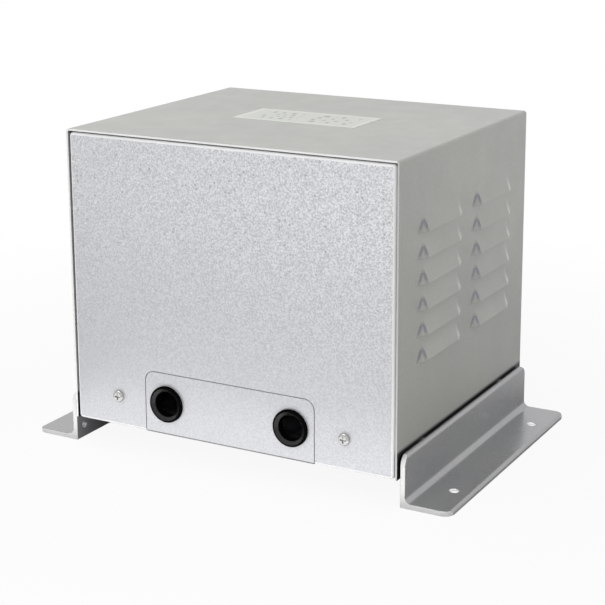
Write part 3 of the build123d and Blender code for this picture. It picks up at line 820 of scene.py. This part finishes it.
sawn_round = 0.0006
sawn_turn = 40  # degrees from which an edge is a sawn or drilled one
sawn_facing = 0.3  # how far a face looks along Y, from 0 to 1, to be sawn
foot_end = 0.118
foot_back = 0.144
corner_reach = 0.009  # how far the rounded corners of the legs reach in from the sawn ends
root_foot, root_top = 0.0045, 0.0090  # heights of the curved root between the legs
root_face = 0.14801  # just off the upright leg's outer face
hole_x, hole_y = 0.170, 0.079
hole_radius = 0.0035


def foot_finish_at(face):
    """Sawn ends with their rounded corners get a pale painted highlight, the back against the wall painted
    shade.
    """
    middle = face.calc_center_median()
    if abs(face.normal.y) > sawn_facing and abs(middle.y) > foot_end - corner_reach:
        return 1
    return 2 if abs(middle.x) < foot_back + hair else 0


def foot_rounding(edge):
    """Sawn and drilled edges are broken with a file, but not where the earth hole cuts the angle's root."""
    in_root = all(
        root_foot < corner.co.z < root_top
        and abs(corner.co.x) > root_face
        and abs(corner.co.y) < foot_end - hair
        for corner in edge.verts
    )
    return sawn_round if edge_turn(edge) > sawn_turn and not in_root else 0.0


def off_hole(finish):
    """Distance from the axis of the nearest floor hole."""
    nodes, links = finish.node_tree.nodes, finish.node_tree.links
    folded = nodes.new("ShaderNodeVectorMath")
    folded.operation = "ABSOLUTE"
    links.new(part_place(finish, stretch=(1.0, 1.0, 0.0)), folded.inputs[0])
    distance = nodes.new("ShaderNodeVectorMath")
    distance.operation = "DISTANCE"
    distance.inputs[1].default_value = (hole_x, hole_y, 0.0)
    links.new(folded.outputs["Vector"], distance.inputs[0])
    return distance.outputs["Value"]


def foot_paint():
    """Satin grey metallic paint. The floor holes are drilled through it and show steel, near-white as a
    painted highlight.
    """
    hole_highlight_steel = (0.97, 0.97, 0.97)
    finish = satin_paint(
        "satin_foot_paint",
        dark=(0.385, 0.389, 0.395),
        light=(0.400, 0.404, 0.410),
        flake_size=0.0020,
        metallic=0.75,
        roughness=(0.24, 0.28),
        peel=0.0000003,
    )
    steel_to, paint_from = hole_radius + 0.0003, hole_radius + 0.0005
    drilled = span(finish, off_hole(finish), first=1.0, last=0.0, low=steel_to, high=paint_from)
    # Painted highlight: near-white steel in the drilled holes.
    lay_over(finish, hole_highlight_steel, drilled)
    wear_through(finish, drilled)
    return finish


# Painted highlight: a pale grey for the sawn ends and their rounded corners.
sawn_end_highlight = mottled_finish(
    "sawn_end_highlight",
    dark=(0.78, 0.78, 0.77),
    light=(0.90, 0.90, 0.89),
    blot=0.0010,
    metallic=0.2,
    roughness=(0.35, 0.50),
    depth=0.00002,
)
# Painted shade: a darker grey for the foot's back, in the gap against the wall.
back_face_shade = mottled_finish(
    "back_face_shade",
    dark=(0.24, 0.245, 0.26),
    light=(0.32, 0.325, 0.34),
    blot=0.0015,
    metallic=0.0,
    roughness=(0.45, 0.60),
    depth=0.00004,
)
foot_finishes = (foot_paint(), sawn_end_highlight, back_face_shade)
for side in ("left", "right"):
    foot = rounded_copy(
        f"{side}_foot_angle", f"{side}_foot", foot_rounding, sawn_round, steps=3, finish_at=foot_finish_at
    )
    for finish in foot_finishes:
        foot.data.materials.append(finish)

# Label: a pale printed film stuck flat on the roof. A lighter border runs round a field with four rows of
# plain grey bars.

field_half_x, field_half_y = 0.050, 0.0205
bars_half_x = 0.042
bar_strength = 0.80
bar_edges = (0.52, 0.56)  # greys between which a gap turns into a bar
bar_rows = [
    {"y": 0.0125, "bar": 0.0075, "half_height": 0.0030},
    {"y": 0.0042, "bar": 0.0060, "half_height": 0.0022},
    {"y": -0.0042, "bar": 0.0050, "half_height": 0.0022},
    {"y": -0.0125, "bar": 0.0070, "half_height": 0.0026},
]


def label_film():
    """Pale film: border, rows of bars and a faint grain."""
    grain_size = 0.0009
    grain_depth = 0.00001
    field_grey = (0.65, 0.665, 0.62)
    bar_grey = (0.28, 0.29, 0.27)
    low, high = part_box("rating_label")
    finish, shader = new_finish("label_film")
    nodes, links = finish.node_tree.nodes, finish.node_tree.links
    place = nodes.new("ShaderNodeTexCoord")
    centred = nodes.new("ShaderNodeVectorMath")
    centred.operation = "SUBTRACT"
    centred.inputs[1].default_value = (low + high) / 2
    links.new(place.outputs["Object"], centred.inputs[0])
    axes = nodes.new("ShaderNodeSeparateXYZ")
    links.new(centred.outputs["Vector"], axes.inputs["Vector"])

    def band(axis, centre, half):
        """1 within half of a line across the label, 0 outside."""
        inside = nodes.new("ShaderNodeMath")
        inside.operation = "COMPARE"
        inside.inputs[1].default_value = centre
        inside.inputs[2].default_value = half
        links.new(axes.outputs[axis], inside.inputs[0])
        return inside.outputs["Value"]

    grain = clouds(finish, grain_size)
    colour = tint(finish, grain, dark=(0.69, 0.705, 0.655), light=(0.75, 0.765, 0.715))
    links.new(colour, shader.inputs["Base Color"])
    field = combine(finish, "MULTIPLY", band("X", 0.0, field_half_x), band("Y", 0.0, field_half_y))
    lay_over(finish, field_grey, field)
    for row in bar_rows:
        bars = clouds(finish, row["bar"], stretch=(1.0, 0.0, 0.0))
        marks = span(finish, bars, 0.0, bar_strength, *bar_edges)
        row_height = band("Y", row["y"], row["half_height"])
        strip = combine(finish, "MULTIPLY", row_height, band("X", 0.0, bars_half_x))
        lay_over(finish, bar_grey, combine(finish, "MULTIPLY", marks, strip))
    links.new(span(finish, grain, first=0.34, last=0.42), shader.inputs["Roughness"])
    relief(finish, shader, grain, grain_depth)
    return finish


dress(label_film(), "rating_label")

# Floor: a wide sheet of matt white under the feet. It keeps a soft shadow close to them and fades to plain
# white further out. The paint mirrors it as it is lit, with painted reflections glowing in it: a paler ring
# from the feet outwards and plain white under the bolt holes.

floor_half = 9.0
floor_drop = 0.0001
shadow_reach = (0.30, 0.75)
mirror_reach = (0.25, 0.90)
reflected_glow_reach = (0.20, 0.28)
shadow_white = 0.92
reflected_glow_white = 0.40
hole_blur = 0.0001


def floor_sheet():
    """Matt white that keeps its shadow, and that the paint mirrors as it is lit until it fades to white."""
    grain_size = 0.05
    dark_white, pale_white = (0.74, 0.74, 0.74), (0.76, 0.76, 0.76)
    finish, shader = new_finish("floor_white")
    nodes, links = finish.node_tree.nodes, finish.node_tree.links
    colour = tint(finish, clouds(finish, grain_size), dark_white, pale_white)
    links.new(colour, shader.inputs["Base Color"])
    shader.inputs["Roughness"].default_value = 0.9
    place = nodes.new("ShaderNodeTexCoord")
    distance = nodes.new("ShaderNodeVectorMath")
    distance.operation = "LENGTH"
    links.new(place.outputs["Object"], distance.inputs[0])
    off_middle = distance.outputs["Value"]
    ray = nodes.new("ShaderNodeLightPath")
    mirrored = combine(finish, "MAXIMUM", ray.outputs["Is Glossy Ray"], ray.outputs["Is Transmission Ray"])
    hole_glow = span(finish, off_hole(finish), 1.0, 0.0, hole_radius - hole_blur, hole_radius)
    ring = span(finish, off_middle, 0.0, reflected_glow_white, *reflected_glow_reach)
    seen_white = span(finish, off_middle, shadow_white, 1.0, *shadow_reach)
    mirrored_white = span(finish, off_middle, 0.0, 1.0, *mirror_reach)
    # Painted reflections: glow seen only in the paint, paler from the feet outwards and white under the
    # bolt holes.
    for paler in (ring, hole_glow):
        mirrored_white = combine(finish, "MAXIMUM", mirrored_white, paler)
    seen_share = combine(finish, "MULTIPLY", ray.outputs["Is Camera Ray"], seen_white)
    mirrored_share = combine(finish, "MULTIPLY", mirrored, mirrored_white)
    white = nodes.new("ShaderNodeEmission")
    white.inputs["Strength"].default_value = 1.0
    mix = nodes.new("ShaderNodeMixShader")
    links.new(combine(finish, "ADD", seen_share, mirrored_share), mix.inputs["Fac"])
    links.new(shader.outputs["BSDF"], mix.inputs[1])
    links.new(white.outputs["Emission"], mix.inputs[2])
    links.new(mix.outputs["Shader"], nodes["Material Output"].inputs["Surface"])
    return finish


floor_mesh = bpy.data.meshes.new("floor")
corners = [(x * floor_half, y * floor_half, -floor_drop) for x, y in ((-1, -1), (1, -1), (1, 1), (-1, 1))]
floor_mesh.from_pydata(corners, [], [(0, 1, 2, 3)])
floor_mesh.materials.append(floor_sheet())
floor = bpy.data.objects.new("floor", floor_mesh)
bpy.context.scene.collection.objects.link(floor)

# Studio: a soft box high in front, one overhead on the left, a strip behind on the right and a card on the
# floor in front, in a white room. The paint mirrors the overhead box, the card and the room.

room_level = 0.20
case_middle = Vector((0.0, 0.0, 0.13))
above_card = Vector((0.0, -0.19, 1.0))
soft_boxes = {
    "front_box": {"place": (0.05, -1.20, 1.00), "aim": case_middle, "sides": (1.0, 1.0), "watts": 9.2},
    "overhead_box": {"place": (-0.45, -0.25, 1.60), "aim": case_middle, "sides": (1.0, 1.0), "watts": 9.0},
    "rear_strip": {"place": (1.10, 1.30, 0.70), "aim": case_middle, "sides": (0.7, 0.7), "watts": 7.0},
    "front_card": {"place": (0.00, -0.19, 0.002), "aim": above_card, "sides": (0.40, 0.12), "watts": 0.14},
}
mirrored_boxes = ("overhead_box", "front_card")
for name, box in soft_boxes.items():
    lamp = bpy.data.lights.new(name, "AREA")
    lamp.shape = "RECTANGLE"
    lamp.size, lamp.size_y = box["sides"]
    lamp.energy = box["watts"]
    lamp_object = bpy.data.objects.new(name, lamp)
    lamp_object.location = box["place"]
    lamp_object.rotation_euler = (box["aim"] - lamp_object.location).to_track_quat("-Z", "Y").to_euler()
    lamp_object.visible_camera = False
    lamp_object.visible_glossy = name in mirrored_boxes
    bpy.context.scene.collection.objects.link(lamp_object)

room = bpy.data.worlds.new("white_room")
room.use_nodes = True
room_wall = room.node_tree.nodes["Background"]
room_wall.inputs["Color"].default_value = (1.0, 1.0, 1.0, 1.0)
room_ray = room.node_tree.nodes.new("ShaderNodeLightPath")
room_seen = room_ray.outputs["Is Camera Ray"]
for kind in ("Is Glossy Ray", "Is Transmission Ray"):
    room_seen = combine(room, "MAXIMUM", room_seen, room_ray.outputs[kind])
room_strength = span(room, room_seen, room_level, 1.0, low=0.0, high=1.0)
room.node_tree.links.new(room_strength, room_wall.inputs["Strength"])
bpy.context.scene.world = room
bpy.context.scene.view_settings.view_transform = "Standard"

# Camera: where the photograph was taken from, to the right of the front and a little above. Its lens is
# shifted, so that upright edges stay nearly upright.

view_turn = math.radians(28.940)
view_rise = math.radians(12.962)
view_roll = math.radians(-0.284)
view_distance = 1.29299
view_target = Vector((-0.00049, 0.0, 0.18067))
view_shift = -0.15
image_side = 605
focal_pixels = 1607.52
sensor = 36.0

back = Vector(
    (
        math.sin(view_turn) * math.cos(view_rise),
        -math.cos(view_turn) * math.cos(view_rise),
        math.sin(view_rise),
    )
)
camera_data = bpy.data.cameras.new("camera")
camera_data.sensor_width = sensor
camera_data.lens = focal_pixels / image_side * sensor
camera_data.shift_y = view_shift
camera = bpy.data.objects.new("camera", camera_data)
level_turn = back.to_track_quat("Z", "Y").to_matrix().to_4x4()
camera.matrix_world = (
    Matrix.Translation(view_target + back * view_distance) @ level_turn @ Matrix.Rotation(view_roll, 4, "Z")
)
bpy.context.scene.collection.objects.link(camera)
bpy.context.scene.camera = camera
